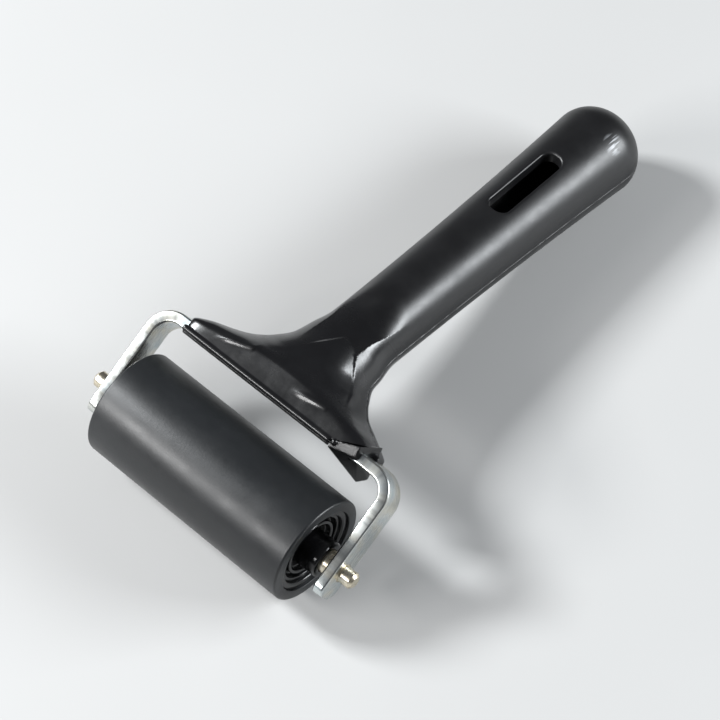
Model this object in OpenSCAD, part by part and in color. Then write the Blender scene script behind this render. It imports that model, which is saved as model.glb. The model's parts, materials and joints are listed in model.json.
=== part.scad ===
// Hand roller with a rubber-covered cylinder, a bent steel yoke and a moulded two-shell handle.
// All sizes in millimetres. +X runs along the axle, +Y from the roller to the handle's end, +Z is up.
// The tool is drawn as it rests: the roller and the end of the handle touch the plane under it.
// The origin is on that plane, under the middle of the whole tool. Inside at_rest() the pieces are
// drawn from the middle of the roller's axis instead.

/* [Roller] */
// Radius of the rubber cover
roller_r = 13.7; // [13:0.1:16]
// Length of the rubber cover
roller_len = 60; // [50:0.5:60]
// Wall of the rubber cover
rubber_wall = 2.7; // [2:0.1:3]
// Where the roller sits along its play between the arms
roller_shift = -0.8; // [-0.8:0.1:0.8]
// Depth of the core's ends under the rubber's ends
core_recess = 0.6; // [0.2:0.1:1]
// Wall of the core tube
core_wall = 1.6; // [1.2:0.1:2]

/* [Axle] */
// Radius of the axle between the arms
axle_r = 3; // [2.8:0.1:3.6]
// Radius of the axle's free ends
pin_r = 2.1; // [1.6:0.05:2.2]
// Length of a stepped end outside its arm
pin_out = 3.7; // [2:0.1:6]
// Chamfer on the tip of a stepped end
pin_chamfer = 0.7; // [0.3:0.1:1]
// Radial clearance of the axle in the plugs and in the arms
running_gap = 0.05; // [0.02:0.01:0.1]

/* [Yoke] */
// Angle of the yoke's plane above level
yoke_tilt = 29.5; // [24:0.5:34]
// Thickness of the yoke's strip
strip_t = 2.8; // [2:0.1:3.2]
// Width of the yoke's strip
strip_w = 8.2; // [7:0.1:9]
// Half of the gap between the arms
arm_gap = 34.7; // [34.6:0.1:36]
// Distance from the axle to the near face of the crossbar
yoke_reach = 21.6; // [20:0.1:24]
// Outer radius of the bends
bend_r = 7.1; // [5:0.1:8]
// How far an arm runs past the axle
arm_tail = 7.2; // [5:0.1:8]
// Corner radius of an arm's end
tail_r = 2.6; // [1:0.1:3.4]

/* [Handle] */
// Y of the handle's far end
handle_end = 142; // [136:0.5:155]
// Radius of the grip where it leaves the shoulders
grip_r = 9.4; // [8.5:0.1:10.5]
// Radius of the grip near its far end
tip_r = 11.7; // [10.5:0.1:13]
// Half width of the head around the crossbar
head_half = 28.2; // [26:0.1:30]
// Plastic over and under the strip
head_cover = 1.9; // [1.2:0.1:3]
// Wall of the hollow shells
shell_wall = 3; // [2:0.1:4]
// Width of the hanging slot
slot_w = 5.8; // [4:0.1:8]
// Length of the hanging slot
slot_len = 24; // [16:0.1:30]
// Y of the hanging slot's middle
slot_y = 104.2; // [92:0.1:110]

/* [Hidden] */
$fn = 64;
// where the grip leaves the shoulders, and where its rounded end starts
grip_y = 46;
tip_len = 10;
cap_y = handle_end - tip_len;
// the middle of the grip at its two ends, its slope, and how late it swells towards its end
grip_z0 = 6.3;
grip_z1 = tip_r - roller_r;
grip_slope = atan2(grip_z1 - grip_z0, cap_y - grip_y);
swell = 1.9;
// the radii inside the roller
core_r = roller_r - rubber_wall;
plug_r = core_r - core_wall;
roller_half = roller_len / 2;
core_half = roller_half - core_recess;
// the plugs' faces, rings and hubs
plug_floor = 2.6;
plug_depth = 9;
plug_set_in = 0.9;
plug_land = 0.9;
dish_taper = 0.3;
plug_ring_w = 0.9;
plug_ring_h = 1.7;
hub_r = 4.7;
hub_out = 3.6;
hub_round = 0.6;
dish_r = plug_r - plug_land - dish_taper;
plug_ring_r = hub_r + 0.63 * (dish_r - hub_r);
bore_r = axle_r + running_gap;
rim_chamfer = 0.5;
rubber_edge = 0.3;
// the axle's seats in the arms are larger than its free ends
seat_r = pin_r + 0.3;
// the yoke
arm_out = arm_gap + strip_t;
bend_in_r = bend_r - strip_t;
hole_r = seat_r + running_gap;
shoulder_gap = 0.1;
// the crossbar's channel in the handle
strip_gap = 0.05;
head_top = strip_w / 2 + head_cover;
head_back = 3.2;
// the bead along the head's front edge, and where the nose takes over from it
bead_r = 0.9;
bead_in = 0.25;
bead_drop = 0.2;
bead_end = 18;
// the points across half a section, and the sections of the grip and of its rounded end
arc_steps = 20;
grip_steps = 12;
cap_steps = 7;
// the rounded end's last section stops this many degrees short of its tip
cap_short = 1.5;
// the smallest half size of an inset section
least_half = 0.3;
// how far a cutting shape runs past what it cuts
past = 1;

// Moves a piece from the roller's axis to its place over the origin.
module at_rest() {
  translate([0, -(handle_end - roller_r) / 2, roller_r]) children();
}

// Turns the drawing plane of the yoke: X stays, Y runs along the arms, Z is across the strip.
module in_yoke_plane() {
  rotate([yoke_tilt, 0, 0]) children();
}

// Turns a solid of revolution drawn along Z onto the roller's axis.
module on_axis() {
  rotate([0, 90, 0]) children();
}

function mix(a, b, t) = a + (b - a) * t;

// A point of the yoke's plane, given along the arms and across the strip, in Y and Z.
function yoke_yz(s, n) = [
  s * cos(yoke_tilt) - n * sin(yoke_tilt),
  s * sin(yoke_tilt) + n * cos(yoke_tilt)
];

// The grip's middle line and radius at a distance along it.
function grip_mid(y) = mix(grip_z0, grip_z1, (y - grip_y) / (cap_y - grip_y));
function grip_radius(y) = mix(grip_r, tip_r, pow((y - grip_y) / (cap_y - grip_y), swell));

// A section across the head, square to the yoke's plane: distance from the axle, its top, its widest
// level and its bottom across the strip, its half width and its squareness.
function head_station(s, top, level, bottom, half, square) =
  [yoke_yz(s, top), yoke_yz(s, level), yoke_yz(s, bottom), half, square];

head_stations = [
  head_station(yoke_reach, head_top, 0, -head_top, head_half, 14),
  head_station(yoke_reach + head_back, head_top, 0, -head_top, head_half - 1, 14),
  head_station(27, head_top, -2.2, -7, 24.2, 8),
  head_station(28.6, 5.7, -6.3, -10, 20.7, 4.2),
  head_station(30.2, 4.6, -7.6, -13.4, 17.2, 2.6),
  head_station(32.2, 3.1, -9, -17.2, 14.6, 2.2),
  head_station(35.2, 0.8, -11.2, -21.4, 12.2, 2)
];

// One section of the grip at a distance along it, for a given radius.
function grip_station(y, r) = [
  [y - r * sin(grip_slope), grip_mid(y) + r * cos(grip_slope)],
  [y, grip_mid(y)],
  [y + r * sin(grip_slope), grip_mid(y) - r * cos(grip_slope)],
  r, 2
];

// The stations from the head to the end of the handle.
stations = concat(
  head_stations,
  [for (i = [0:grip_steps])
    let (y = mix(grip_y, cap_y, i / grip_steps))
    grip_station(y, grip_radius(y))],
  [for (i = [1:cap_steps])
    let (a = i * 90 / cap_steps - cap_short)
    grip_station(cap_y + tip_len * sin(a), tip_r * cos(a))]
);

// Half of one section as points in space, drawn smaller by the inset; side is 1 above, -1 below.
function half_ring(station, side, inset) =
  let (
    middle = station[1],
    reach = (side > 0 ? station[0] : station[2]) - middle,
    tall = norm(reach),
    up = reach / tall,
    wide = max(station[3] - inset, least_half),
    high = max(tall - inset, least_half),
    power = 2 / station[4]
  )
  [for (i = [0:arc_steps])
    let (
      a = i * 180 / arc_steps,
      x = wide * sign(cos(a)) * pow(abs(cos(a)), power),
      h = high * pow(abs(sin(a)), power)
    )
    [x, middle[0] + up[0] * h, middle[1] + up[1] * h]
  ];

// A whole section as points in space.
function full_ring(station, inset) = concat(half_ring(station, 1, inset), half_ring(station, -1, inset));

// The body between two sections.
module between(ring_a, ring_b) {
  points = concat(ring_a, ring_b);
  hull() polyhedron(points, [[for (i = [0:len(points) - 1]) i]]);
}

// The outside of a shell from its head to its rounded end.
module half_body(side) {
  for (i = [0:len(stations) - 2])
    between(half_ring(stations[i], side, 0), half_ring(stations[i + 1], side, 0));
}

// The hollow in both shells, which starts behind the crossbar and stops before the rounded end.
module hollow() {
  first = 5;
  last = len(stations) - 5;
  for (i = [first:last])
    between(full_ring(stations[i], shell_wall), full_ring(stations[i + 1], shell_wall));
}

// The channel that the crossbar fills, flush with the head's front and open at both ends.
module crossbar_channel() {
  in_yoke_plane()
    translate([-arm_out, yoke_reach - strip_gap, -strip_w / 2 - strip_gap])
      cube([2 * arm_out, strip_t + 2 * strip_gap, strip_w + 2 * strip_gap]);
}

// The hanging slot, square to the grip.
module hanging_slot() {
  straight = slot_len - slot_w;
  translate([0, slot_y, grip_mid(slot_y)])
    rotate([grip_slope, 0, 0])
      for (end = [-1, 1])
        hull() {
          translate([0, end * straight / 2, 0]) cylinder(r = slot_w / 2, h = 4 * tip_r, center = true);
          cylinder(r = slot_w / 2, h = 4 * tip_r, center = true);
        }
}

// The corner of the upper shell that makes room for the lower shell's nose, seen across the strip.
nose_corner = [[bead_end, 10], [bead_end, 22.5], [29.6, 27.9], [arm_out, 27.9], [arm_out, 10]];

module nose_room() {
  in_yoke_plane()
    linear_extrude(4 * head_top, center = true)
      polygon(nose_corner);
}

module handle_upper() {
  at_rest() color([0.06, 0.06, 0.065])
    difference() {
      union() {
        half_body(1);
        in_yoke_plane()
          translate([-head_half + bead_r, yoke_reach + bead_in, head_top - bead_r - bead_drop])
            rotate([0, 90, 0])
              cylinder(r = bead_r, h = head_half - bead_r + bead_end + past);
      }
      hollow();
      crossbar_channel();
      hanging_slot();
      nose_room();
    }
}

// The faceted nose at the right end of the head, which wraps the crossbar where it leaves.
// Its corners are given along X, along the arms and across the strip.
nose_points = [
  [18.8, 22.8, 6.0], [25.2, 25.3, 6.0], [28.0, 27.0, 6.0],
  [18.4, 20.8, 4.8], [25.6, 22.6, 5.0], [28.0, 25.0, 1.0],
  [22.4, 18.4, -4.4], [24.6, 17.4, -6.0], [26.6, 19.4, -6.0],
  [19.0, 23.0, -6.0], [28.0, 26.0, -6.0], [18.8, 20.9, 0]
];

module nose() {
  in_yoke_plane()
    hull() polyhedron(nose_points, [[for (i = [0:len(nose_points) - 1]) i]]);
}

module handle_lower() {
  at_rest() color([0.05, 0.05, 0.055])
    difference() {
      union() {
        half_body(-1);
        nose();
      }
      hollow();
      crossbar_channel();
      hanging_slot();
    }
}

// A block in the yoke's plane with its two far corners rounded.
module rounded_block(half, low, high, r) {
  translate([-half, low]) square([2 * half, high - low - r]);
  translate([-half + r, low]) square([2 * (half - r), high - low]);
  for (side = [-1, 1])
    translate([side * (half - r), high - r]) circle(r);
}

// An arm seen from its side, with a rounded end past the axle.
module arm_side() {
  high = yoke_reach + strip_t + past;
  translate([-arm_tail + tail_r, -strip_w / 2]) square([high + arm_tail - tail_r, strip_w]);
  translate([-arm_tail, -strip_w / 2 + tail_r]) square([tail_r + past, strip_w - 2 * tail_r]);
  for (side = [-1, 1])
    translate([-arm_tail + tail_r, side * (strip_w / 2 - tail_r)]) circle(tail_r);
}

module frame_yoke() {
  at_rest() color([0.75, 0.76, 0.78])
    in_yoke_plane()
      difference() {
        intersection() {
          translate([0, 0, -strip_w / 2])
            linear_extrude(strip_w)
              difference() {
                rounded_block(arm_out, -arm_tail, yoke_reach + strip_t, bend_r);
                rounded_block(arm_gap, -arm_tail - past, yoke_reach, bend_in_r);
              }
          rotate([90, 0, 90])
            linear_extrude(2 * (arm_out + past), center = true)
              arm_side();
        }
        on_axis() cylinder(r = hole_r, h = 2 * (arm_out + past), center = true);
      }
}

module axle_pin() {
  shoulder = arm_gap - shoulder_gap;
  tip = arm_out + pin_out;
  at_rest() color([0.78, 0.7, 0.5])
    on_axis() {
      cylinder(r = axle_r, h = 2 * shoulder, center = true);
      cylinder(r = seat_r, h = 2 * arm_out, center = true);
      cylinder(r = pin_r, h = 2 * (tip - pin_chamfer), center = true);
      for (side = [0, 180])
        rotate([0, side, 0])
          translate([0, 0, tip - pin_chamfer])
            cylinder(r1 = pin_r, r2 = pin_r - pin_chamfer, h = pin_chamfer);
    }
}

module roller_sleeve() {
  at_rest() color([0.13, 0.14, 0.15])
    translate([roller_shift, 0, 0])
      on_axis()
        rotate_extrude()
          polygon([
            [core_r, -roller_half],
            [roller_r - rubber_edge, -roller_half],
            [roller_r, -roller_half + rubber_edge],
            [roller_r, roller_half - rubber_edge],
            [roller_r - rubber_edge, roller_half],
            [core_r, roller_half]
          ]);
}

module core_tube() {
  at_rest() color([0.08, 0.08, 0.09])
    translate([roller_shift, 0, 0])
      on_axis()
        rotate_extrude()
          polygon([
            [plug_r, -core_half + rim_chamfer],
            [plug_r + rim_chamfer, -core_half],
            [core_r, -core_half],
            [core_r, core_half],
            [plug_r + rim_chamfer, core_half],
            [plug_r, core_half - rim_chamfer]
          ]);
}

// One end plug, drawn along Z with its open face up and the tube's end at zero.
module core_plug() {
  ring_in = plug_ring_r - plug_ring_w / 2;
  ring_out = plug_ring_r + plug_ring_w / 2;
  hub_top = core_recess + hub_out;
  rotate_extrude()
    polygon([
      [bore_r, -plug_depth],
      [plug_r, -plug_depth],
      [plug_r, -plug_set_in],
      [plug_r - plug_land, -plug_set_in],
      [dish_r, -plug_floor],
      [ring_out, -plug_floor],
      [ring_out, -plug_floor + plug_ring_h],
      [ring_in, -plug_floor + plug_ring_h],
      [ring_in, -plug_floor],
      [hub_r, -plug_floor],
      [hub_r, hub_top - hub_round],
      [hub_r - hub_round, hub_top],
      [bore_r, hub_top]
    ]);
}

module core_plug_right() {
  at_rest() color([0.04, 0.04, 0.045])
    translate([roller_shift + core_half, 0, 0])
      on_axis() core_plug();
}

module core_plug_left() {
  at_rest() color([0.04, 0.04, 0.045])
    translate([roller_shift - core_half, 0, 0])
      rotate([0, 180, 0])
        on_axis() core_plug();
}

handle_upper();
handle_lower();
frame_yoke();
axle_pin();
roller_sleeve();
core_tube();
core_plug_left();
core_plug_right();
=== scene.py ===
"""Looks of a hand roller with a rubber cover, a bent strip yoke and a two-shell moulded handle.

Shapes are worked out in millimetres from the middle of the roller's axis: +X along the axle, +Y to the
handle's end, +Z up. The yoke's plane is tilted, and positions in it are given as (x, s, n): s runs along
the arms and n runs across the strip. place() turns all of it into metres in the row's frame.
"""

import json
import math

import bmesh
import bpy
import numpy as np
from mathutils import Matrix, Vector


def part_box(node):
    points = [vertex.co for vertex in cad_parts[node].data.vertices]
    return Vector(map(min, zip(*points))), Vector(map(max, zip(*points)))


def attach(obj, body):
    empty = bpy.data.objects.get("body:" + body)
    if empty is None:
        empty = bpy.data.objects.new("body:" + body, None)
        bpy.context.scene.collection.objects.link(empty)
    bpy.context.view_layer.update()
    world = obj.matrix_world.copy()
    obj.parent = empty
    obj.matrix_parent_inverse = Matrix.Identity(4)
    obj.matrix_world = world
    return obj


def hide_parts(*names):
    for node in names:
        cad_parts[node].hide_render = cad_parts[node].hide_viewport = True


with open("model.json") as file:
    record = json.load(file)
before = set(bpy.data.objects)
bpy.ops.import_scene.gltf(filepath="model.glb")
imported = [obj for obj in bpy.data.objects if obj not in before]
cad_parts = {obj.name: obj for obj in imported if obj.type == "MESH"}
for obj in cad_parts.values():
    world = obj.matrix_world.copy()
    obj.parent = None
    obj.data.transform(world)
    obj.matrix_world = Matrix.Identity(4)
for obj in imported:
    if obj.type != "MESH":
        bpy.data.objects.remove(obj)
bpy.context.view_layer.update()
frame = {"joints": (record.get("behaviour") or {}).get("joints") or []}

MM = 0.001
AXIS = Vector(frame["joints"][0]["pos_m"])

# ---------------------------------------------------------------- sizes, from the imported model
sleeve_lo, sleeve_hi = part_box("roller_sleeve")
core_lo, core_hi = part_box("core_tube")
axle_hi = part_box("axle_pin")[1]
yoke_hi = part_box("frame_yoke")[1]
handle_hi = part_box("handle_upper")[1]

ROLLER_R = (sleeve_hi.z - sleeve_lo.z) / 2 / MM
ROLLER_HALF = (sleeve_hi.x - sleeve_lo.x) / 2 / MM
ROLLER_MID = (sleeve_hi.x + sleeve_lo.x) / 2 / MM
CORE_R = (core_hi.z - core_lo.z) / 2 / MM
CORE_HALF = (core_hi.x - core_lo.x) / 2 / MM
PIN_END = axle_hi.x / MM
ARM_OUT = yoke_hi.x / MM
HANDLE_END = (handle_hi.y - AXIS.y) / MM

# the yoke's strip
TILT = math.radians(29.5)
STRIP_T = 2.8
STRIP_W = 8.2
ARM_GAP = ARM_OUT - STRIP_T
REACH = 21.6
BEND_R = 7.1
ARM_TAIL = 7.2
TAIL_R = 2.6

# the roller's core and axle
CORE_WALL = 1.6
AXLE_R = 3.0
PIN_R = 2.1
SEAT_R = 2.4
RUNNING_GAP = 0.05

# the handle
TIP_LEN = 10.0
CAP_Y = HANDLE_END - TIP_LEN
GRIP_Y = 46.0
GRIP_Z = (6.3, -2.0)
GRIP_R = (9.4, 11.7)
WALL = 3.0
NECK_WALL = 3.6
HOLLOW_START = 32.0
SLOT_W, SLOT_LEN, SLOT_Y, SLOT_CORNER = 5.6, 23.4, 104.2, 2.5
SLOT_RIM_R = 0.9
CHANNEL_ROOM = 0.04
# half the gap between the shells, and how far their edges are rounded
SEAM_GAP = 0.03
SEAM_R = 0.3


def place(points):
    """Millimetres from the roller's axis to metres in the row's frame."""
    return np.asarray(points, float) * MM + np.array(AXIS)


# ---------------------------------------------------------------- small maths
def smoothstep(low, high, t):
    t = np.clip((t - low) / (high - low), 0, 1)
    return t * t * (3 - 2 * t)


def soft_max(a, b, r):
    """The larger of two fields, with the edge between them rounded over about r."""
    h = np.clip(0.5 + 0.5 * (a - b) / r, 0, 1)
    return b + (a - b) * h + r * h * (1 - h)


def soft_min(a, b, r):
    return -soft_max(-a, -b, r)


def curve(points, t):
    """A smooth curve through (t, value) points, straight past its ends."""
    pts = np.array(points, float)
    k, v = pts[:, 0], pts[:, 1]
    secant = np.diff(v) / np.diff(k)
    slope = np.empty(len(k))
    slope[0], slope[-1] = secant[0], secant[-1]
    left, right = secant[:-1], secant[1:]
    same = left * right > 0
    slope[1:-1] = np.where(same, 2 * left * right / np.where(same, left + right, 1), 0)
    i = np.clip(np.searchsorted(k, t) - 1, 0, len(k) - 2)
    w = k[i + 1] - k[i]
    u = np.clip((t - k[i]) / w, 0, 1)
    inside = (
        v[i] * (2 * u**3 - 3 * u**2 + 1)
        + v[i + 1] * (3 * u**2 - 2 * u**3)
        + slope[i] * w * (u**3 - 2 * u**2 + u)
        + slope[i + 1] * w * (u**3 - u**2)
    )
    before = np.minimum(t - k[0], 0) * slope[0]
    after = np.maximum(t - k[-1], 0) * slope[-1]
    return inside + before + after


def yoke_coords(p):
    """x, s, n of points in the yoke's plane."""
    c, k = math.cos(TILT), math.sin(TILT)
    return p[:, 0], p[:, 1] * c + p[:, 2] * k, -p[:, 1] * k + p[:, 2] * c


# ---------------------------------------------------------------- the handle as a field, below zero inside
GRIP_SLOPE = math.atan2(GRIP_Z[1] - GRIP_Z[0], CAP_Y - GRIP_Y)
GRIP_SWELL = 1.9
# the neck turns into the grip between these two places along Y
NECK_TO_GRIP = (41.0, 50.0)
# the neck's sections across the yoke's plane: (s, value)
NECK_HALF = [
    (21.6, 28.2), (25.0, 28.2), (26.9, 25.4), (28.5, 21.0), (29.6, 18.4), (30.6, 16.8),
    (33.0, 14.1), (36.5, 11.4), (41.0, 10.5), (45.0, 9.6), (52.0, 9.4),
]
NECK_TOP = [
    (21.6, 6.0), (28.3, 5.8), (30.6, 4.5), (33.0, 2.5), (36.5, -0.1), (41.0, -4.0),
    (45.0, -7.0), (52.0, -11.9),
]
NECK_MID = [
    (21.6, 0.0), (24.8, 0.0), (27.0, -2.2), (28.6, -6.3), (30.2, -7.6),
    (32.2, -9.0), (35.2, -11.2), (41.0, -15.7), (45.0, -18.5), (52.0, -23.4),
]
NECK_BOTTOM = [
    (21.6, -6.0), (24.8, -6.0), (27.0, -7.4), (28.6, -10.4), (30.2, -13.6), (32.2, -17.2),
    (35.2, -21.4), (41.0, -27.2), (45.0, -30.0), (52.0, -34.9),
]
# the sections' power: 2 is an ellipse, and larger is squarer
NECK_SQUARE = [
    (21.6, 12.0), (24.5, 9.5), (26.5, 5.5), (28.0, 3.8), (29.4, 2.8), (31.0, 2.2),
    (33.0, 2.0), (52.0, 2.0),
]
# the least half size of a section of the hollow
LEAST_HALF = 0.3
HEAD_EDGE_R = 0.4
# where the two shells meet: (y, z)
PARTING = [
    (18.8, 10.6), (21.9, 12.4), (24.6, 11.4), (28.0, 8.8), (30.0, 8.3), (36.2, 7.5),
    (46.0, 6.3), (132.0, -2.0),
]
# the neck's top: the panel's two sides and the half width of the thumb flat behind it: (s, x)
PANEL_LEFT = [(28.6, -10.8), (29.9, -9.7), (34.9, -4.0), (38.5, -1.4), (42.2, 1.2)]
PANEL_RIGHT = [(29.0, 15.6), (30.6, 14.2), (33.0, 12.2), (35.8, 9.9), (40.6, 6.3), (44.0, 3.8)]
THUMB_HALF = [(38.0, 6.3), (44.0, 6.3), (47.3, 6.9), (52.4, 7.4), (60.0, 7.4)]
PANEL_FRONT, PANEL_BACK = 29.8, 42.4
PANEL_SIDE_X, PANEL_SIDE_BACK = 6.3, 1.8
# the widths of the panel's edges, and of its blend into the thumb flat
PANEL_RIGHT_EDGE, PANEL_LEFT_EDGE, PANEL_FRONT_EDGE = 0.7, 2.4, 1.6
PANEL_BLEND = 0.35
# turns a distance along x into one across the panel's slanting left side
PANEL_LEFT_TURN = 0.8
# the panel's depth, what its right side adds, what its round end adds, and how it rises along s
PANEL_DEPTH, PANEL_LEAN = 0.2, 0.2
PANEL_END, PANEL_END_DEPTH = 3.5, 0.55
PANEL_RISE, PANEL_RISE_AT = 0.35, (34, 41)
THUMB_FLAT_R = 15.0
THUMB_START = (35, 43)
THUMB_FADE = (44.0, 56.0)
THUMB_HALF_RANGE = (6.3, 7.4)
# the relief fades towards the neck's sides, down to the root of this share
STEEP_SHARE = 0.1
# two ribs on the head: start and end as (x, s), and height
RIBS = [((-20.5, 25.2), (-9.8, 28.7), 0.42), ((2.5, 25.9), (13.6, 27.9), 0.3)]
RIB_WIDTH = 0.75
RIB_SWELL, RIB_STOP = 0.45, 0.92
# a shallow dip beyond the left rib's end: middle and size as (x, s)
DIP_AT, DIP_SIZE, DIP_DEPTH = (-5.8, 28.9), (3.0, 0.8), 0.1
# the bead: two fine ribs along the head's front edge, as (s, n, radius)
BEAD_RIBS = [(22.3, 5.6, 0.75), (21.5, 4.9, 0.5)]
BEAD_MID, BEAD_HALF = -5.0, 22.6
# how far the bead and the knob are blended into what they stand on
FINE_BLEND = 0.15


def grip_mid(y):
    """The height of the grip's middle line."""
    return GRIP_Z[0] + (GRIP_Z[1] - GRIP_Z[0]) * (y - GRIP_Y) / (CAP_Y - GRIP_Y)


def grip_radius(y):
    share = np.clip((y - GRIP_Y) / (CAP_Y - GRIP_Y), 0, 1)
    return GRIP_R[0] + (GRIP_R[1] - GRIP_R[0]) * share**GRIP_SWELL


def grip_field(p, inset=0.0):
    """The grip and its tip, which is half an ellipsoid."""
    x, y, z = p.T
    c, k = math.cos(GRIP_SLOPE), math.sin(GRIP_SLOPE)
    side = np.hypot(x, (z - grip_mid(y)) * c) - (grip_radius(y) - inset)
    along = (y - CAP_Y) * c + (z - GRIP_Z[1]) * k
    up = (z - GRIP_Z[1]) * c - (y - CAP_Y) * k
    tip_r, tip_len = GRIP_R[1] - inset, TIP_LEN - inset
    tip = (np.sqrt((x / tip_r) ** 2 + (up / tip_r) ** 2 + (along / tip_len) ** 2) - 1) * tip_r
    return np.where(along > 0, tip, side)


def neck_field(x, s, n, inset=0.0):
    """About the distance to the neck's skin, whose sections are superellipses."""
    mid = curve(NECK_MID, s)
    reach = np.where(n > mid, curve(NECK_TOP, s) - mid, mid - curve(NECK_BOTTOM, s))
    half = np.maximum(curve(NECK_HALF, s) - inset, LEAST_HALF)
    high = np.maximum(reach - inset, LEAST_HALF)
    power = curve(NECK_SQUARE, s)
    a, b = np.abs(x) / half, np.abs(n - mid) / high
    r = np.maximum((a**power + b**power) ** (1 / power), 1e-3)
    slope = np.hypot((a / r) ** (power - 1) / half, (b / r) ** (power - 1) / high)
    return (r - 1) / slope


def panel_depth(x, s, back):
    """The panel lies a little under the skin, deepest at its round back end."""
    side = curve(PANEL_RIGHT, s)
    right = smoothstep(0, PANEL_RIGHT_EDGE, side - x)
    left = smoothstep(0, PANEL_LEFT_EDGE, x - curve(PANEL_LEFT, s))
    front = smoothstep(0, PANEL_FRONT_EDGE, s - PANEL_FRONT)
    lean = np.clip(x / side, 0, 1) ** 2
    end = np.clip(1 + (s - back) / PANEL_END, 0, 1) ** 2
    middle = PANEL_END_DEPTH * end - PANEL_RISE * smoothstep(*PANEL_RISE_AT, s)
    return right * left * front * (PANEL_DEPTH + PANEL_LEAN * lean + middle * (1 - lean))


def thumb_depth(x, s, y):
    """The grip's round top is nearly flat just behind the panel, and grows round again along Y."""
    r, half = GRIP_R[0], np.clip(curve(THUMB_HALF, s), *THUMB_HALF_RANGE)
    round_top = np.sqrt(np.clip(r**2 - x**2, 0, None)) - np.sqrt(np.clip(r**2 - half**2, 0, None))
    flat_top = (half**2 - x**2) / (2 * THUMB_FLAT_R)
    depth = np.where(np.abs(x) < half, np.maximum(round_top - flat_top, 0), 0)
    return depth * smoothstep(*THUMB_START, s) * (1 - smoothstep(*THUMB_FADE, y))


def rib(x, s, start, end, height):
    """A low rib along a line, which swells slowly from its start and stops at its end."""
    t = (x - start[0]) / (end[0] - start[0])
    line = start[1] + (end[1] - start[1]) * t
    fade = smoothstep(0, RIB_SWELL, t) * (1 - smoothstep(RIB_STOP, 1, t))
    return height * fade * np.exp(-(((s - line) / RIB_WIDTH) ** 2))


def dip(x, s):
    """The dip's depth."""
    a, b = (x - DIP_AT[0]) / DIP_SIZE[0], (s - DIP_AT[1]) / DIP_SIZE[1]
    return DIP_DEPTH * np.exp(-(a**2) - b**2)


def relief(x, s, y):
    """How far the top of the head and neck lies under the plain skin."""
    back = PANEL_BACK - PANEL_SIDE_BACK * (x / PANEL_SIDE_X) ** 2
    from_left = (x - curve(PANEL_LEFT, s)) * PANEL_LEFT_TURN
    in_panel = smoothstep(-PANEL_BLEND, PANEL_BLEND, np.minimum(back - s, from_left))
    top = in_panel * panel_depth(x, s, back) + (1 - in_panel) * thumb_depth(x, s, y)
    return top + dip(x, s) - sum(rib(x, s, *values) for values in RIBS)


def body_field(p):
    """The outside of the whole handle."""
    x, s, n = yoke_coords(p)
    head = soft_max(neck_field(x, s, n), REACH - s, HEAD_EDGE_R)
    w = smoothstep(*NECK_TO_GRIP, p[:, 1])
    skin = head * (1 - w) + grip_field(p) * w
    upright = np.sqrt(np.clip(1 - (x / curve(NECK_HALF, s)) ** 2, STEEP_SHARE, 1))
    return skin + np.where(n > curve(NECK_MID, s), relief(x, s, p[:, 1]) * upright, 0)


def hollow_field(p):
    """The room inside the two shells."""
    x, s, n = yoke_coords(p)
    neck = np.maximum(neck_field(x, s, n, NECK_WALL), HOLLOW_START - s)
    w = smoothstep(*NECK_TO_GRIP, p[:, 1])
    return neck * (1 - w) + grip_field(p, WALL) * w


def channel_field(p):
    """The crossbar's channel."""
    x, s, n = yoke_coords(p)
    past_t = np.abs(s - REACH - STRIP_T / 2) - STRIP_T / 2
    past_w = np.abs(n) - STRIP_W / 2
    return np.maximum(past_t, past_w) - CHANNEL_ROOM


def slot_field(p):
    """The hanging slot: a rounded rectangle, right through the grip."""
    x, y, z = p.T
    along = (y - SLOT_Y) * math.cos(GRIP_SLOPE) + (z - grip_mid(SLOT_Y)) * math.sin(GRIP_SLOPE)
    a = np.abs(x) - (SLOT_W / 2 - SLOT_CORNER)
    b = np.abs(along) - (SLOT_LEN / 2 - SLOT_CORNER)
    return np.hypot(np.maximum(a, 0), np.maximum(b, 0)) + np.minimum(np.maximum(a, b), 0) - SLOT_CORNER


def bead_field(p):
    """The bead along the head's front edge."""
    x, s, n = yoke_coords(p)
    past = np.maximum(np.abs(x - BEAD_MID) - BEAD_HALF, 0)
    ribs = [np.sqrt((s - at_s) ** 2 + (n - at_n) ** 2 + past**2) - r for at_s, at_n, r in BEAD_RIBS]
    return np.minimum(*ribs)


# the nose's corners: (x, s, n)
NOSE_POINTS = [
    (18.8, 22.8, 6.0), (25.2, 25.3, 6.0), (27.3, 27.8, 0.0), (18.4, 20.8, 5.4),
    (25.6, 22.6, 5.3), (27.0, 25.2, -1.5), (22.4, 18.4, -4.4), (24.6, 17.4, -6.0),
    (26.6, 19.4, -6.0), (19.0, 23.0, -6.0), (25.5, 26.0, -6.0), (18.8, 20.9, 0.0),
]
NOSE_EDGE_R = 0.12
# the small knob beside the bead's end
KNOB_AT, KNOB_R = (19.3, 22.6, 5.8), 0.75
# the upper shell ends at this x in front of a slanting line, which starts at this s
NOSE_ROOM_X, NOSE_ROOM_S = 18.0, 22.5
# the line's slope, and what turns a distance along s into one across it
NOSE_ROOM_SLOPE, NOSE_ROOM_TURN = 5.4 / 11.6, 0.9


def hull_planes(points):
    """Outward normals and offsets of the faces of the hull of some points."""
    bm = bmesh.new()
    verts = [bm.verts.new(p) for p in points]
    bmesh.ops.convex_hull(bm, input=verts)
    bm.normal_update()
    centre = np.mean(points, axis=0)
    planes = []
    for face in bm.faces:
        normal = np.array(face.normal)
        offset = normal @ np.array(face.verts[0].co)
        if normal @ centre > offset:
            normal, offset = -normal, -offset
        planes.append((normal, offset))
    bm.free()
    return planes


NOSE_PLANES = hull_planes(NOSE_POINTS)


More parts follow.
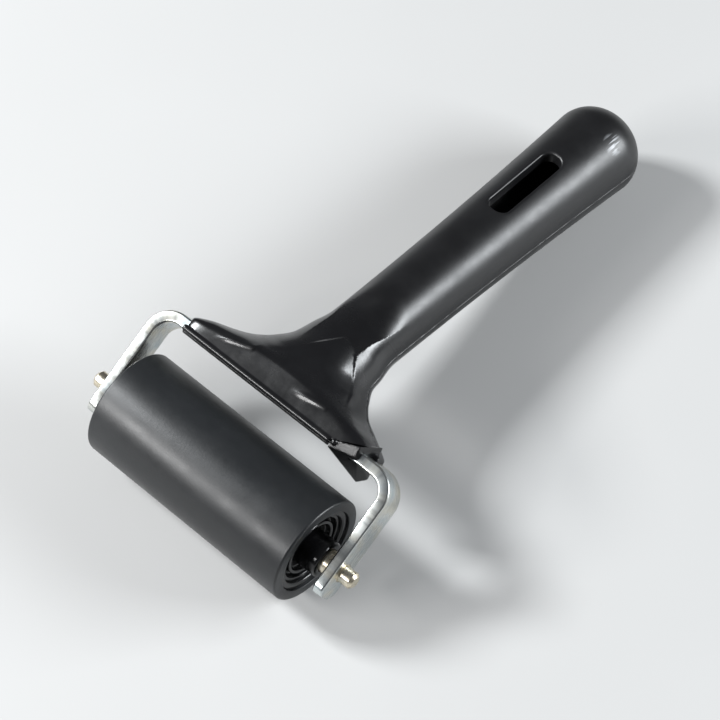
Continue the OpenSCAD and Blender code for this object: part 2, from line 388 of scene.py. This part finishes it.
def nose_field(p):
    """The faceted nose, with its edges a little rounded, and the knob."""
    q = np.stack(yoke_coords(p), axis=1)
    d = np.full(len(q), -1e9)
    for normal, offset in NOSE_PLANES:
        d = soft_max(d, q @ normal - offset, NOSE_EDGE_R)
    knob = np.linalg.norm(q - np.array(KNOB_AT), axis=1) - KNOB_R
    return soft_min(d, knob, FINE_BLEND)


def nose_room_field(p):
    """The corner of the upper shell that the nose takes."""
    x, s, n = yoke_coords(p)
    edge = NOSE_ROOM_S + (x - NOSE_ROOM_X) * NOSE_ROOM_SLOPE
    return np.maximum(NOSE_ROOM_X - x, (s - edge) * NOSE_ROOM_TURN)


def slotted(p, d):
    """Takes the hollow, the crossbar's channel and the slot out of a shell."""
    d = soft_max(d, -slot_field(p), SLOT_RIM_R)
    d = np.maximum(d, -hollow_field(p))
    return np.maximum(d, -channel_field(p))


def upper_field(p):
    """The upper shell."""
    d = soft_min(body_field(p), bead_field(p), FINE_BLEND)
    d = np.maximum(d, -nose_room_field(p))
    d = soft_max(d, curve(PARTING, p[:, 1]) - p[:, 2] + SEAM_GAP, SEAM_R)
    return slotted(p, d)


def lower_field(p):
    """The lower shell, with the nose."""
    d = soft_max(body_field(p), p[:, 2] - curve(PARTING, p[:, 1]) + SEAM_GAP, SEAM_R)
    return slotted(p, np.minimum(d, nose_field(p)))


# ---------------------------------------------------------------- fields to meshes
# points to a block's side, and how near a corner has to be before its blocks are worked out
BLOCK = 6
NEAR = 1.4
# rounds in the search for a zero
ROOT_STEPS = 5
# how strongly a cell's point is held at the mean of its zeros, and its smallest distance from the cell's
# sides as a share of the cell
POINT_HOLD = 0.06
CELL_MARGIN = 0.02
# a quad's corner looks for its own slope this share of the way to the quad's middle, and keeps it where
# the point's slope is further off than the crease angle
INWARD = 0.3
CREASE = math.radians(14)


def slope_of(field, p, e=0.01):
    """The field's unit gradient at some points."""
    g = np.stack([field(p + e * np.eye(3)[i]) - field(p - e * np.eye(3)[i]) for i in range(3)], axis=1)
    return g / np.maximum(np.linalg.norm(g, axis=1, keepdims=True), 1e-12)


def in_chunks(field, p, size=200000):
    return np.concatenate([field(p[i : i + size]) for i in range(0, len(p), size)])


def sample(field, low, high, step):
    """The field on a grid. Blocks far from its zero only keep the values of their corners."""
    counts = [math.ceil((high[i] - low[i]) / (BLOCK * step)) for i in range(3)]
    axes = [low[i] + step * np.arange(counts[i] * BLOCK + 1) for i in range(3)]
    corners = np.meshgrid(*[a[::BLOCK] for a in axes], indexing="ij")
    coarse = in_chunks(field, np.stack([c.ravel() for c in corners], axis=1)).reshape(corners[0].shape)
    near = np.abs(coarse) < NEAR * BLOCK * step
    block = np.zeros(counts, bool)
    for corner in np.ndindex(2, 2, 2):
        block |= near[tuple(slice(c, c + n) for c, n in zip(corner, counts))]
    index = [np.arange(len(a)) for a in axes]
    mask = np.zeros([len(a) for a in axes], bool)
    for back in np.ndindex(2, 2, 2):
        inside = [np.clip((i - b) // BLOCK, 0, n - 1) for i, b, n in zip(index, back, counts)]
        mask |= block[np.ix_(*inside)]
    values = coarse[np.ix_(*[(i + BLOCK // 2) // BLOCK for i in index])]
    where = np.argwhere(mask)
    values[mask] = in_chunks(field, np.stack([axes[i][where[:, i]] for i in range(3)], axis=1))
    return axes, values


def crossing(field, a, b, va, vb):
    """Where the field is zero between points a and b, given its values there."""
    for _ in range(ROOT_STEPS):
        t = np.clip(va / (va - vb), 0.05, 0.95)
        mid = a + (b - a) * t[:, None]
        vm = field(mid)
        left = (vm < 0) == (va < 0)
        a, va = np.where(left[:, None], mid, a), np.where(left, vm, va)
        b, vb = np.where(left[:, None], b, mid), np.where(left, vb, vm)
    return a + (b - a) * (va / (va - vb))[:, None]


def crossings_along(field, axes, values, axis):
    """The zeros on the grid's edges along one axis, and the four cells round each edge."""
    shape = values.shape
    cells = tuple(n - 1 for n in shape)
    lo, hi = [slice(None)] * 3, [slice(None)] * 3
    lo[axis], hi[axis] = slice(0, -1), slice(1, None)
    idx = np.argwhere((values[tuple(lo)] < 0) != (values[tuple(hi)] < 0))
    others = [a for a in range(3) if a != axis]
    idx = idx[np.all([(idx[:, a] > 0) & (idx[:, a] < shape[a] - 1) for a in others], axis=0)]
    end = idx + np.eye(3, dtype=int)[axis]
    va, vb = values[tuple(idx.T)], values[tuple(end.T)]
    pa = np.stack([axes[a][idx[:, a]] for a in range(3)], axis=1)
    pb = np.stack([axes[a][end[:, a]] for a in range(3)], axis=1)
    corners = []
    for du, dv in ((-1, -1), (0, -1), (0, 0), (-1, 0)):
        c = idx.copy()
        c[:, others[0]] += du
        c[:, others[1]] += dv
        corners.append(np.ravel_multi_index(tuple(c.T), cells))
    corners = np.stack(corners, axis=1)
    flip = (va < 0) != (axis == 1)
    corners[~flip] = corners[~flip][:, ::-1]
    return crossing(field, pa, pb, va, vb), corners


def cell_points(zeros, slopes, cell, count):
    """One point to a cell, as near as it can be to the planes through the cell's zeros."""
    share = np.bincount(cell, minlength=count).astype(float)
    mean = np.stack([np.bincount(cell, zeros[:, i], count) / share for i in range(3)], axis=1)
    away = np.einsum("ij,ij->i", slopes, zeros - mean[cell])
    ata = np.empty((count, 3, 3))
    atb = np.empty((count, 3))
    for i in range(3):
        atb[:, i] = np.bincount(cell, slopes[:, i] * away, count)
        for j in range(3):
            ata[:, i, j] = np.bincount(cell, slopes[:, i] * slopes[:, j], count)
    ata += np.eye(3) * POINT_HOLD
    return mean + np.linalg.solve(ata, atb[:, :, None])[:, :, 0]


def contour(field, low, high, step):
    """Dual contouring: a closed mesh of quads on the field's zero, with its sharp edges kept."""
    axes, values = sample(field, low, high, step)
    found = [crossings_along(field, axes, values, axis) for axis in range(3)]
    zeros = np.concatenate([f[0] for f in found])
    quads = np.concatenate([f[1] for f in found])
    used, cell = np.unique(quads.ravel(), return_inverse=True)
    cell = cell.reshape(-1)
    owner = np.repeat(np.arange(len(zeros)), 4)
    verts = cell_points(zeros[owner], slope_of(field, zeros)[owner], cell, len(used))
    index = np.unravel_index(used, tuple(n - 1 for n in values.shape))
    corner = np.stack([axes[a][index[a]] for a in range(3)], axis=1)
    verts = np.clip(verts, corner + CELL_MARGIN * step, corner + (1 - CELL_MARGIN) * step)
    return verts, cell.reshape(-1, 4)


def quad_mesh(name, verts, quads):
    mesh = bpy.data.meshes.new(name)
    mesh.vertices.add(len(verts))
    mesh.vertices.foreach_set("co", place(verts).astype(np.float32).ravel())
    mesh.loops.add(quads.size)
    mesh.loops.foreach_set("vertex_index", quads.ravel().astype(np.int32))
    mesh.polygons.add(len(quads))
    mesh.polygons.foreach_set("loop_start", np.arange(0, quads.size, 4, dtype=np.int32))
    mesh.update(calc_edges=True)
    mesh.validate()
    mesh.polygons.foreach_set("use_smooth", np.ones(len(mesh.polygons), bool))
    return mesh


def shading(field, verts, quads):
    """Normals for the quads' corners: the field's slope there, or just inside the quad at a crease."""
    point = quads.ravel()
    middle = np.repeat(verts[quads].mean(axis=1), 4, axis=0)
    at_point = slope_of(field, verts)[point]
    at_side = slope_of(field, verts[point] * (1 - INWARD) + middle * INWARD)
    smooth = np.einsum("ij,ij->i", at_point, at_side) > math.cos(CREASE)
    return np.where(smooth[:, None], at_point, at_side)


def linked(name, mesh):
    """A mesh's object, in the scene."""
    obj = bpy.data.objects.new(name, mesh)
    bpy.context.scene.collection.objects.link(obj)
    return obj


def field_object(name, field, low, high, step):
    """A mesh object on a field's zero, shaded with the field's own slope."""
    verts, quads = contour(field, low, high, step)
    mesh = quad_mesh(name, verts, quads)
    mesh.normals_split_custom_set([tuple(v) for v in shading(field, verts, quads)])
    return linked(name, mesh)


# ---------------------------------------------------------------- turned and swept meshes
SHARP = math.radians(35)


def mesh_object(name, verts, faces):
    """A mesh object from points in millimetres, smooth but for its sharp edges."""
    mesh = bpy.data.meshes.new(name)
    mesh.from_pydata([tuple(v) for v in place(verts)], [], faces)
    mesh.validate()
    for polygon in mesh.polygons:
        polygon.use_smooth = True
    mesh.set_sharp_from_angle(angle=SHARP)
    obj = linked(name, mesh)
    fix_normals(obj)
    return obj


def fix_normals(obj):
    """Turns the faces outwards."""
    bm = bmesh.new()
    bm.from_mesh(obj.data)
    bmesh.ops.recalc_face_normals(bm, faces=bm.faces)
    bm.to_mesh(obj.data)
    bm.free()


def rounded(profile, radii, steps=5):
    """A closed outline with its corners rounded: points, and one radius for each."""
    out = []
    count = len(profile)
    for i, r in enumerate(radii):
        p = np.array(profile[i], float)
        if r <= 0:
            out.append(p)
            continue
        a = np.array(profile[i - 1], float) - p
        b = np.array(profile[(i + 1) % count], float) - p
        a, la = a / np.linalg.norm(a), np.linalg.norm(a)
        b, lb = b / np.linalg.norm(b), np.linalg.norm(b)
        half = math.acos(np.clip(a @ b, -1, 1)) / 2
        cut = min(r / math.tan(half), 0.49 * la, 0.49 * lb)
        r = cut * math.tan(half)
        middle = p + (a + b) / np.linalg.norm(a + b) * (r / math.sin(half))
        start, end = p + a * cut - middle, p + b * cut - middle
        for k in range(steps + 1):
            t = k / steps
            v = start * (1 - t) + end * t
            out.append(middle + v / np.linalg.norm(v) * r)
    return out


def turned(name, outline, segments=160):
    """A ring turned round the roller's axis from a closed outline of (x, radius)."""
    count = len(outline)
    verts, faces = [], []
    for i in range(segments):
        a = 2 * math.pi * i / segments
        verts += [(x, r * math.sin(a), r * math.cos(a)) for x, r in outline]
    for i in range(segments):
        j = (i + 1) % segments
        for k in range(count):
            m = (k + 1) % count
            faces.append((i * count + k, i * count + m, j * count + m, j * count + k))
    return mesh_object(name, verts, faces)


def capped_turn(name, outline, segments=96):
    """A solid of revolution from an open outline of (x, radius), closed by flat ends."""
    verts, faces = [], []
    count = len(outline)
    for x, r in outline:
        for i in range(segments):
            a = 2 * math.pi * i / segments
            verts.append((x, r * math.sin(a), r * math.cos(a)))
    for k in range(count - 1):
        for i in range(segments):
            j = (i + 1) % segments
            here, after = k * segments, (k + 1) * segments
            faces.append((here + i, here + j, after + j, after + i))
    faces.append(tuple(range(segments))[::-1])
    faces.append(tuple((count - 1) * segments + i for i in range(segments)))
    return mesh_object(name, verts, faces)


def sleeve():
    """The rubber cover."""
    r, h = ROLLER_R, ROLLER_HALF
    outline = [(-h, CORE_R), (-h, r), (h, r), (h, CORE_R)]
    outline = rounded(outline, [0.15, 0.55, 0.55, 0.15])
    return turned("rubber_cover", [(x + ROLLER_MID, y) for x, y in outline], 256)


def core():
    """The tube under the rubber."""
    h, inner = CORE_HALF, CORE_R - CORE_WALL
    outline = [(-h, inner), (-h, CORE_R), (h, CORE_R), (h, inner)]
    outline = rounded(outline, [0.5, 0.2, 0.2, 0.5])
    return turned("core_tube_skin", [(x + ROLLER_MID, y) for x, y in outline])


def plug(name, side):
    """An end plug: a dish with a raised ring, and a hub that the axle runs in."""
    r = CORE_R - CORE_WALL
    bore = AXLE_R + RUNNING_GAP
    inner_x, floor_x, rim_x, hub_x = -9.0, -2.6, -0.9, 4.2
    rim, dish, hub = r - 0.9, r - 1.2, 4.7
    ring = hub + 0.63 * (dish - hub)
    ring_in, ring_out, ring_x = ring - 0.45, ring + 0.45, floor_x + 1.7
    outline = [
        (inner_x, bore), (inner_x, r), (rim_x, r), (rim_x, rim), (floor_x, dish),
        (floor_x, ring_out), (ring_x, ring_out), (ring_x, ring_in), (floor_x, ring_in),
        (floor_x, hub), (hub_x, hub), (hub_x, bore),
    ]
    radii = [0, 0, 0.2, 0.25, 0.6, 0.35, 0.3, 0.3, 0.35, 0.5, 0.7, 0.25]
    outline = rounded(outline, radii)
    return turned(name, [(side * (x + CORE_HALF) + ROLLER_MID, y) for x, y in outline])


def axle():
    """The rod, thicker between the arms, with a seat in each arm and a chamfered pin outside it."""
    shoulder, chamfer = ARM_GAP - 0.1, 0.7
    half = [
        (shoulder, AXLE_R), (shoulder, SEAT_R), (ARM_OUT, SEAT_R), (ARM_OUT, PIN_R),
        (PIN_END - chamfer, PIN_R), (PIN_END, PIN_R - chamfer),
    ]
    radii = [0.2, 0, 0.1, 0, 0.25, 0.25]
    outline = [(-x, y) for x, y in half[::-1]] + half
    outline = [(-PIN_END, 0.0)] + outline + [(PIN_END, 0.0)]
    points = rounded(outline, [0] + radii[::-1] + radii + [0])
    return capped_turn("axle_rod", points[1:-1])


STRIP_EDGE_R = 0.5


def strip_stations():
    """Places along the strip, from end to end: x, s, turn, and how much it's narrowed on each side."""
    mid_r = BEND_R - STRIP_T / 2
    x0, s1 = ARM_GAP + STRIP_T / 2, REACH + STRIP_T / 2
    stations = []
    for a in np.radians(np.linspace(0, 90, 9)):
        back, narrow = 1 - math.cos(a), 1 - math.sin(a)
        stations.append((-x0, -ARM_TAIL + TAIL_R * back, 0.0, TAIL_R * narrow))
    arm = np.linspace(-ARM_TAIL + TAIL_R + 1, s1 - mid_r, 10)
    stations += [(-x0, s, 0.0, 0.0) for s in arm]
    for a in np.radians(np.linspace(0, 90, 17)[1:]):
        x, s = mid_r * (1 - math.cos(a)), mid_r * math.sin(a)
        stations.append((-x0 + x, s1 - mid_r + s, a, 0.0))
    bar = np.linspace(-x0 + mid_r, 0, 12)[1:]
    stations += [(x, s1, math.pi / 2, 0.0) for x in bar]
    return stations + [(-x, s, math.pi - a, w) for x, s, a, w in stations[-2::-1]]


def strip_section(narrow):
    """The strip's section as (across its thickness, across its width)."""
    u, n = STRIP_T / 2, STRIP_W / 2 - narrow
    return rounded([(-u, -n), (u, -n), (u, n), (-u, n)], [STRIP_EDGE_R] * 4, 4)


def strip():
    """The strip swept along its stations, with its unrolled shape as uv."""
    c, k = math.cos(TILT), math.sin(TILT)
    stations = strip_stations()
    verts, faces, unrolled = [], [], []
    run, last = 0.0, stations[0][:2]
    for x, s, a, narrow in stations:
        run += math.dist((x, s), last)
        last = (x, s)
        for u, n in strip_section(narrow):
            px, ps = x - u * math.cos(a), s + u * math.sin(a)
            verts.append((px, ps * c - n * k, ps * k + n * c))
            unrolled.append((run / 10, n / 10))
    count = len(verts) // len(stations)
    for i in range(0, len(verts) - count, count):
        for j in range(count):
            m = (j + 1) % count
            faces.append((i + j, i + m, i + count + m, i + count + j))
    faces.append(tuple(range(count))[::-1])
    faces.append(tuple(range(len(verts) - count, len(verts))))
    obj = mesh_object("strip_yoke", verts, faces)
    uv = obj.data.uv_layers.new(name="strip")
    for loop in obj.data.loops:
        uv.data[loop.index].uv = unrolled[loop.vertex_index]
    return obj


def yoke():
    """The strip with the axle's two holes."""
    obj = strip()
    end, hole_r = ARM_OUT + 3, SEAT_R + RUNNING_GAP
    drill = capped_turn("drill", [(-end, hole_r), (end, hole_r)])
    cut = obj.modifiers.new("holes", "BOOLEAN")
    cut.object, cut.operation, cut.solver = drill, "DIFFERENCE", "EXACT"
    apply_modifiers(obj)
    bpy.data.objects.remove(drill)
    obj.data.set_sharp_from_angle(angle=SHARP)
    return obj


def apply_modifiers(obj):
    """Puts the mesh with its modifiers' results in place of the object's own."""
    bpy.context.view_layer.update()
    depsgraph = bpy.context.evaluated_depsgraph_get()
    mesh = bpy.data.meshes.new_from_object(obj.evaluated_get(depsgraph))
    obj.modifiers.clear()
    obj.data = mesh


# ---------------------------------------------------------------- materials
# dark, middle and light tints
HANDLE_BLACKS = ((0.0040, 0.0040, 0.0044), (0.0055, 0.0055, 0.0061), (0.0080, 0.0080, 0.0088))
CORE_BLACKS = ((0.0040, 0.0040, 0.0044), (0.0055, 0.0055, 0.0060), (0.0090, 0.0090, 0.0095))
RUBBER_GREYS = ((0.0085, 0.0093, 0.0102), (0.0110, 0.0122, 0.0135), (0.0160, 0.0175, 0.0190))
ZINC_TINTS = ((0.50, 0.56, 0.58), (0.62, 0.64, 0.62), (0.68, 0.65, 0.55))
STEEL_TINTS = ((0.58, 0.50, 0.36), (0.70, 0.64, 0.51), (0.76, 0.73, 0.66))
FLOOR_TINTS = ((0.475, 0.472, 0.466), (0.50, 0.497, 0.491))
# the plastics' roughness, and how much the grip adds to it between two places along Y
HANDLE_GLOSS, CORE_GLOSS = 0.24, 0.2
GRIP_ADDS, GRIP_ADDS_AT = 0.14, (46, 62)
# the scratch patch's place, its inner and outer radius in metres, and its colour: a pale grey that is real
# wear with a painted highlight of the scratches' glint
SCRATCH_AND_GLINT_AT = (6.6, 130.8, 7.6)
SCRATCH_AND_GLINT_FADE = (0.0010, 0.0030)
SCRATCH_AND_GLINT_GREY = (0.42, 0.43, 0.45, 1)


class Look:
    """A small helper around one material's nodes."""

    def __init__(self, name):
        self.material = bpy.data.materials.new(name)
        self.material.use_nodes = True
        self.nodes = self.material.node_tree.nodes
        self.links = self.material.node_tree.links
        self.shader = self.nodes["Principled BSDF"]

    def node(self, kind, **values):
        made = self.nodes.new(kind)
        for key, value in values.items():
            if key in made.inputs.keys():
                made.inputs[key].default_value = value
            else:
                setattr(made, key, value)
        return made

    def link(self, a, out, b, into):
        self.links.new(a.outputs[out], b.inputs[into])

    def noise(self, scale, detail, roughness, stretch=(1, 1, 1), turn=(0, 0, 0), uv=None):
        """Noise over the object's own metres, or over a uv map where one is named."""
        where = self.node("ShaderNodeTexCoord") if uv is None else self.node("ShaderNodeUVMap", uv_map=uv)
        mapping = self.node("ShaderNodeMapping")
        mapping.inputs["Scale"].default_value = stretch
        mapping.inputs["Rotation"].default_value = turn
        self.link(where, "Object" if uv is None else "UV", mapping, "Vector")
        noise = self.node("ShaderNodeTexNoise", Scale=scale, Detail=detail, Roughness=roughness)
        self.link(mapping, "Vector", noise, "Vector")
        return noise

    def tint(self, noise, colours, positions):
        """Colours the shader by a noise that runs through some colours at some positions."""
        ramp = self.node("ShaderNodeValToRGB")
        elements = ramp.color_ramp.elements
        while len(elements) < len(colours):
            elements.new(0.5)
        for element, colour, position in zip(elements, colours, positions):
            element.position = position
            element.color = (*colour, 1)
        self.link(noise, "Fac", ramp, "Fac")
        self.link(ramp, "Color", self.shader, "Base Color")
        return ramp

    def range(self, source, out, low, high, new_low, new_high):
        node = self.node("ShaderNodeMapRange")
        limits = {"From Min": low, "From Max": high, "To Min": new_low, "To Max": new_high}
        for key, value in limits.items():
            node.inputs[key].default_value = value
        self.link(source, out, node, "Value")
        return node

    def rough(self, noise, low, high):
        """Varies the shader's roughness by a noise."""
        roughness = self.range(noise, "Fac", 0.3, 0.7, low, high)
        self.link(roughness, "Result", self.shader, "Roughness")
        return roughness

    def bumps(self, *layers):
        """Bumps the shader by layers of (noise, strength, distance in metres)."""
        last = None
        for noise, strength, distance in layers:
            bump = self.node("ShaderNodeBump", Strength=strength, Distance=distance)
            self.link(noise, "Fac", bump, "Height")
            if last is not None:
                self.link(last, "Normal", bump, "Normal")
            last = bump
        self.link(last, "Normal", self.shader, "Normal")

    def maths(self, kind, a, out_a, b, out_b):
        """Adds or multiplies two values."""
        node = self.node("ShaderNodeMath", operation=kind)
        self.links.new(a.outputs[out_a], node.inputs[0])
        self.links.new(b.outputs[out_b], node.inputs[1])
        return node


def plastic(name, blacks, rough):
    """Moulded plastic: faint cloudiness, fine spark-eroded grain, uneven gloss."""
    look = Look(name)
    colour = look.tint(look.noise(90, 5, 0.6), blacks, (0.3, 0.55, 0.75))
    roughness = look.rough(look.noise(160, 6, 0.65), rough - 0.04, rough + 0.06)
    grain = look.noise(3800, 3, 0.6)
    waves = look.noise(260, 2, 0.5)
    look.bumps((grain, 0.07, 0.0001), (waves, 0.05, 0.0004))
    look.shader.inputs["Specular IOR Level"].default_value = 0.5
    return look, colour, roughness


def handle_plastic():
    """The handle's black: polished on the head and neck, grained along the grip, with scratches near its
    end that are painted pale as a painted highlight.
    """
    look, colour, roughness = plastic("handle_plastic", HANDLE_BLACKS, HANDLE_GLOSS)
    where = look.node("ShaderNodeTexCoord")
    axes = look.node("ShaderNodeSeparateXYZ")
    look.link(where, "Object", axes, "Vector")
    start, end = (place([(0, y, 0)])[0][1] for y in GRIP_ADDS_AT)
    grip_part = look.range(axes, "Y", start, end, 0, GRIP_ADDS)
    total = look.maths("ADD", roughness, "Result", grip_part, "Result")
    look.link(total, "Value", look.shader, "Roughness")
    # scratches near the end, painted pale: a painted highlight on real wear
    scratches_and_glint(look, where, colour)
    return look.material


def scratches_and_glint(look, where, colour):
    """Mixes a patch of short pale scratches into a colour: real wear, painted pale as a painted highlight
    of their glint.
    """
    away = look.node("ShaderNodeVectorMath", operation="DISTANCE")
    look.links.new(where.outputs["Object"], away.inputs[0])
    away.inputs[1].default_value = tuple(place([SCRATCH_AND_GLINT_AT])[0])
    near = look.range(away, "Value", *SCRATCH_AND_GLINT_FADE, 1, 0)
    marks = look.noise(380, 1, 0.5, stretch=(6, 0.5, 0.5), turn=(0, 0, 0.3))
    lines = look.range(marks, "Fac", 0.52, 0.60, 0, 1)
    mask = look.maths("MULTIPLY", near, "Result", lines, "Result")
    mixed = look.node("ShaderNodeMixRGB")
    # the pale grey is a painted highlight on the scratches
    mixed.inputs["Color2"].default_value = SCRATCH_AND_GLINT_GREY
    look.link(mask, "Value", mixed, "Fac")
    look.link(colour, "Color", mixed, "Color1")
    look.link(mixed, "Color", look.shader, "Base Color")


def rubber():
    """Ground rubber: charcoal with faint clouds and fine grinding marks round it."""
    look = Look("black_rubber")
    look.tint(look.noise(70, 6, 0.65, stretch=(0.35, 1, 1)), RUBBER_GREYS, (0.3, 0.55, 0.8))
    look.rough(look.noise(130, 5, 0.6), 0.34, 0.44)
    grind = look.noise(900, 4, 0.7, stretch=(3.0, 1, 1))
    look.bumps((grind, 0.14, 0.0002))
    look.shader.inputs["Specular IOR Level"].default_value = 0.5
    return look.material


def zinc():
    """Zinc-plated strip: bluish and yellowish tints, and draw lines along it."""
    look = Look("zinc_strip")
    look.tint(look.noise(2.2, 3, 0.5, uv="strip"), ZINC_TINTS, (0.3, 0.5, 0.7))
    look.shader.inputs["Metallic"].default_value = 1.0
    lines = look.noise(14, 3, 0.7, stretch=(0.12, 3, 1), uv="strip")
    look.rough(lines, 0.18, 0.34)
    dents = look.noise(220, 3, 0.5)
    look.bumps((lines, 0.18, 0.00015), (dents, 0.06, 0.0003))
    return look.material


def steel():
    """Passivated steel rod: warm yellow tints and turning marks."""
    look = Look("axle_steel")
    look.tint(look.noise(300, 4, 0.6), STEEL_TINTS, (0.3, 0.55, 0.8))
    look.shader.inputs["Metallic"].default_value = 1.0
    lines = look.noise(1200, 3, 0.6, stretch=(6, 1, 1))
    look.rough(lines, 0.22, 0.38)
    look.bumps((lines, 0.15, 0.0001))
    return look.material


def floor_look():
    """A plain pale surface with the faintest clouds."""
    look = Look("pale_floor")
    look.tint(look.noise(6, 3, 0.5), FLOOR_TINTS, (0.3, 0.7))
    look.shader.inputs["Roughness"].default_value = 0.6
    return look.material


# ---------------------------------------------------------------- the pieces
# the grid's step in millimetres, and the box that holds the handle
STEP = 0.4
HANDLE_LOW = (-30.0, 8.0, -16.0)
HANDLE_HIGH = (30.0, 144.0, 21.0)


def show(obj, material, body, node):
    """Puts a piece on its body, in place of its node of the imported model."""
    obj.data.materials.clear()
    obj.data.materials.append(material)
    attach(obj, body)
    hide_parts(node)


handle_black = handle_plastic()
core_black = plastic("core_plastic", CORE_BLACKS, CORE_GLOSS)[0].material

upper = field_object("handle_upper_shell", upper_field, HANDLE_LOW, HANDLE_HIGH, STEP)
show(upper, handle_black, "frame", "handle_upper")
lower = field_object("handle_lower_shell", lower_field, HANDLE_LOW, HANDLE_HIGH, STEP)
show(lower, handle_black, "frame", "handle_lower")
show(yoke(), zinc(), "frame", "frame_yoke")
show(axle(), steel(), "frame", "axle_pin")
show(sleeve(), rubber(), "roller", "roller_sleeve")
show(core(), core_black, "roller", "core_tube")
show(plug("end_plug_right", 1), core_black, "roller", "core_plug_right")
show(plug("end_plug_left", -1), core_black, "roller", "core_plug_left")

# ---------------------------------------------------------------- stage
FLOOR_SIDE, FLOOR_UNDER = 6, 0.0002
WORLD_COLOUR, WORLD_STRENGTH = (0.90, 0.93, 1.0, 1), 0.12
LIT_POINT = (0, 0, 0.015)

bpy.ops.mesh.primitive_plane_add(size=FLOOR_SIDE, location=(0, 0, -FLOOR_UNDER))
floor = bpy.context.object
floor.name = "floor"
floor.data.materials.append(floor_look())

world = bpy.data.worlds.new("studio")
world.use_nodes = True
backdrop = world.node_tree.nodes["Background"]
backdrop.inputs["Color"].default_value = WORLD_COLOUR
backdrop.inputs["Strength"].default_value = WORLD_STRENGTH
bpy.context.scene.world = world


def direction(azimuth, elevation):
    """A unit vector from two angles in degrees. Azimuth 0 is in front (-Y), 90 is at +X."""
    a, e = math.radians(azimuth), math.radians(elevation)
    return Vector((math.sin(a) * math.cos(e), -math.cos(a) * math.cos(e), math.sin(e)))


def softbox(name, azimuth, elevation, distance, size, power, colour=(1, 1, 1)):
    """A rectangular area light that faces the object."""
    back = direction(azimuth, elevation)
    data = bpy.data.lights.new(name, "AREA")
    data.shape, data.size, data.size_y = "RECTANGLE", size[0], size[1]
    data.energy, data.color = power, colour
    lamp = bpy.data.objects.new(name, data)
    lamp.location = Vector(LIT_POINT) + back * distance
    lamp.rotation_euler = back.to_track_quat("Z", "Y").to_euler()
    bpy.context.scene.collection.objects.link(lamp)


softbox("side_strip", 128, 25, 0.8, (0.45, 0.22), 8.5, (0.93, 0.97, 1.0))
softbox("front_strip", 332, 27, 0.8, (0.4, 0.10), 4.2)
softbox("left_box", 295, 37, 1.0, (0.22, 0.22), 13.5, (0.95, 0.98, 1.0))

bpy.context.scene.view_settings.view_transform = "Standard"

# ---------------------------------------------------------------- camera
CAMERA_AZIMUTH, CAMERA_ELEVATION = 42.68, 55.56
CAMERA_DISTANCE, CAMERA_LENS = 686.17, 146.22
CAMERA_TARGET = (2.534, 43.497, 3.608)

camera_data = bpy.data.cameras.new("camera")
camera_data.sensor_width = 36
camera_data.lens = CAMERA_LENS
camera_data.clip_start, camera_data.clip_end = 0.01, 20
camera = bpy.data.objects.new("camera", camera_data)
toward = direction(CAMERA_AZIMUTH, CAMERA_ELEVATION)
camera.location = Vector(place([CAMERA_TARGET])[0]) + toward * CAMERA_DISTANCE * MM
camera.rotation_euler = toward.to_track_quat("Z", "Y").to_euler()
bpy.context.scene.collection.objects.link(camera)
bpy.context.scene.camera = camera
